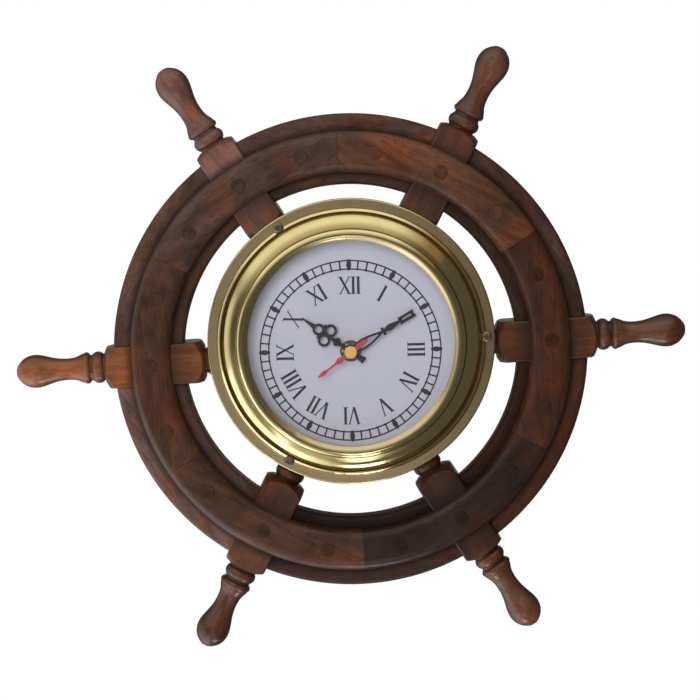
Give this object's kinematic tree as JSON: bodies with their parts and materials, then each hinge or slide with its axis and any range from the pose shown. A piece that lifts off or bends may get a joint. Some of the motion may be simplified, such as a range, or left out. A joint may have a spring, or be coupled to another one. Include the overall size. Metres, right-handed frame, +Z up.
{
  "type": "ship wheel wall clock",
  "caption": "Ship's-wheel wall clock with turned wooden spokes, dowelled felloe rim, moulded brass case, white dial with Roman numerals, hands and a quartz movement.",
  "frame": {"origin": "on the wheel's turning axis, at half the clock's depth, which is the centre of its bounding box", "axes": "+Z up, +X to the viewer's right across two handles, +Y back towards the wall, so the dial faces -Y"},
  "size_m": [0.457, 0.05, 0.3984],
  "materials": {
    "spoke_wood": "satin",
    "felloe_wood": "satin",
    "core_wood": "satin",
    "dowel_wood": "satin",
    "hub_wood": "matte",
    "hanger_brass": "satin",
    "screw_steel": "satin",
    "case_brass": "polished",
    "screw_brass": "satin",
    "dial_glass": "gloss",
    "gasket_rubber": "matte",
    "dial_board": "matte",
    "dial_paper": "matte",
    "movement_plastic": "matte",
    "nut_brass": "satin",
    "washer_rubber": "matte",
    "battery_sleeve": "satin",
    "contact_steel": "satin",
    "circuit_resin": "matte",
    "chip_resin": "gloss",
    "crystal_can": "gloss",
    "coil_wire": "satin",
    "stator_steel": "satin",
    "train_plastic": "matte",
    "hand_black": "satin",
    "hand_red": "satin"
  },
  "bodies": {
    "clock": {"spoke_1": "spoke_wood", "front_felloe_1": "felloe_wood", "core_felloe_1": "core_wood", "back_felloe_1": "felloe_wood", "spoke_2": "spoke_wood", "front_felloe_2": "felloe_wood", "core_felloe_2": "core_wood", "back_felloe_2": "felloe_wood", "spoke_3": "spoke_wood", "front_felloe_3": "felloe_wood", "core_felloe_3": "core_wood", "back_felloe_3": "felloe_wood", "spoke_4": "spoke_wood", "front_felloe_4": "felloe_wood", "core_felloe_4": "core_wood", "back_felloe_4": "felloe_wood", "spoke_5": "spoke_wood", "front_felloe_5": "felloe_wood", "core_felloe_5": "core_wood", "back_felloe_5": "felloe_wood", "spoke_6": "spoke_wood", "front_felloe_6": "felloe_wood", "core_felloe_6": "core_wood", "back_felloe_6": "felloe_wood", "rim_dowels": "dowel_wood", "hub": "hub_wood", "hanger_plate": "hanger_brass", "hanger_screws": "screw_steel", "bezel_base": "case_brass", "bezel_ring": "case_brass", "bezel_screws": "screw_brass", "glass": "dial_glass", "gasket": "gasket_rubber", "dial_board": "dial_board", "dial": "dial_paper", "front_case": "movement_plastic", "back_case": "movement_plastic", "fixing_nut": "nut_brass", "washer": "washer_rubber", "battery": "battery_sleeve", "battery_contacts": "contact_steel", "circuit_board": "circuit_resin", "chip": "chip_resin", "crystal": "crystal_can", "coil": "coil_wire", "stator": "stator_steel"},
    "second": {"second_wheel": "train_plastic", "second_hand": "hand_red", "second_cap": "nut_brass"},
    "rotor": {"rotor": "train_plastic"},
    "intermediate": {"intermediate_wheel": "train_plastic"},
    "third": {"third_wheel": "train_plastic"},
    "centre": {"centre_gear": "train_plastic"},
    "minute": {"minute_arbor": "train_plastic", "minute_hand": "hand_black", "cap_nut": "nut_brass"},
    "motion": {"motion_wheel": "train_plastic"},
    "hour": {"hour_wheel": "train_plastic", "hour_hand": "hand_black"},
    "knob": {"setting_knob": "movement_plastic"}
  },
  "joints": [
    {"name": "second_turn", "type": "hinge", "parent": "clock", "child": "second", "pos_m": [0, 0.00635, 0.0015], "axis": [0, 1, 0], "continuous": true},
    {"name": "rotor_turn", "type": "hinge", "parent": "clock", "child": "rotor", "pos_m": [-0.00734, 0.00645, 0.0183], "axis": [0, 1, 0], "continuous": true},
    {"name": "intermediate_turn", "type": "hinge", "parent": "clock", "child": "intermediate", "pos_m": [-0.00517, 0.00715, 0.01143], "axis": [0, 1, 0], "continuous": true},
    {"name": "third_turn", "type": "hinge", "parent": "clock", "child": "third", "pos_m": [0.00603, 0.00285, 0.01096], "axis": [0, 1, 0], "continuous": true},
    {"name": "centre_turn", "type": "hinge", "parent": "clock", "child": "centre", "pos_m": [0, 0.00175, 0.0015], "axis": [0, 1, 0], "continuous": true},
    {"name": "minute_turn", "type": "hinge", "parent": "clock", "child": "minute", "pos_m": [0, -0.00015, 0.0015], "axis": [0, 1, 0], "continuous": true},
    {"name": "motion_turn", "type": "hinge", "parent": "clock", "child": "motion", "pos_m": [-0.00899, -0.00115, 0.00189], "axis": [0, 1, 0], "continuous": true},
    {"name": "hour_turn", "type": "hinge", "parent": "clock", "child": "hour", "pos_m": [0, -0.00215, 0.0015], "axis": [0, 1, 0], "continuous": true},
    {"name": "knob_turn", "type": "hinge", "parent": "clock", "child": "knob", "pos_m": [-0.01888, 0.01315, 0.00408], "axis": [0, 1, 0], "continuous": true}
  ],
  "couplings": [
    {"joint": "rotor_turn", "follows": "second_turn", "ratio": 30},
    {"joint": "intermediate_turn", "follows": "second_turn", "ratio": -6},
    {"joint": "third_turn", "follows": "second_turn", "ratio": -0.13333},
    {"joint": "centre_turn", "follows": "second_turn", "ratio": 0.016667},
    {"joint": "hour_turn", "follows": "minute_turn", "ratio": 0.083333},
    {"joint": "motion_turn", "follows": "minute_turn", "ratio": -0.33333},
    {"joint": "knob_turn", "follows": "minute_turn", "ratio": 0.66667}
  ]
}
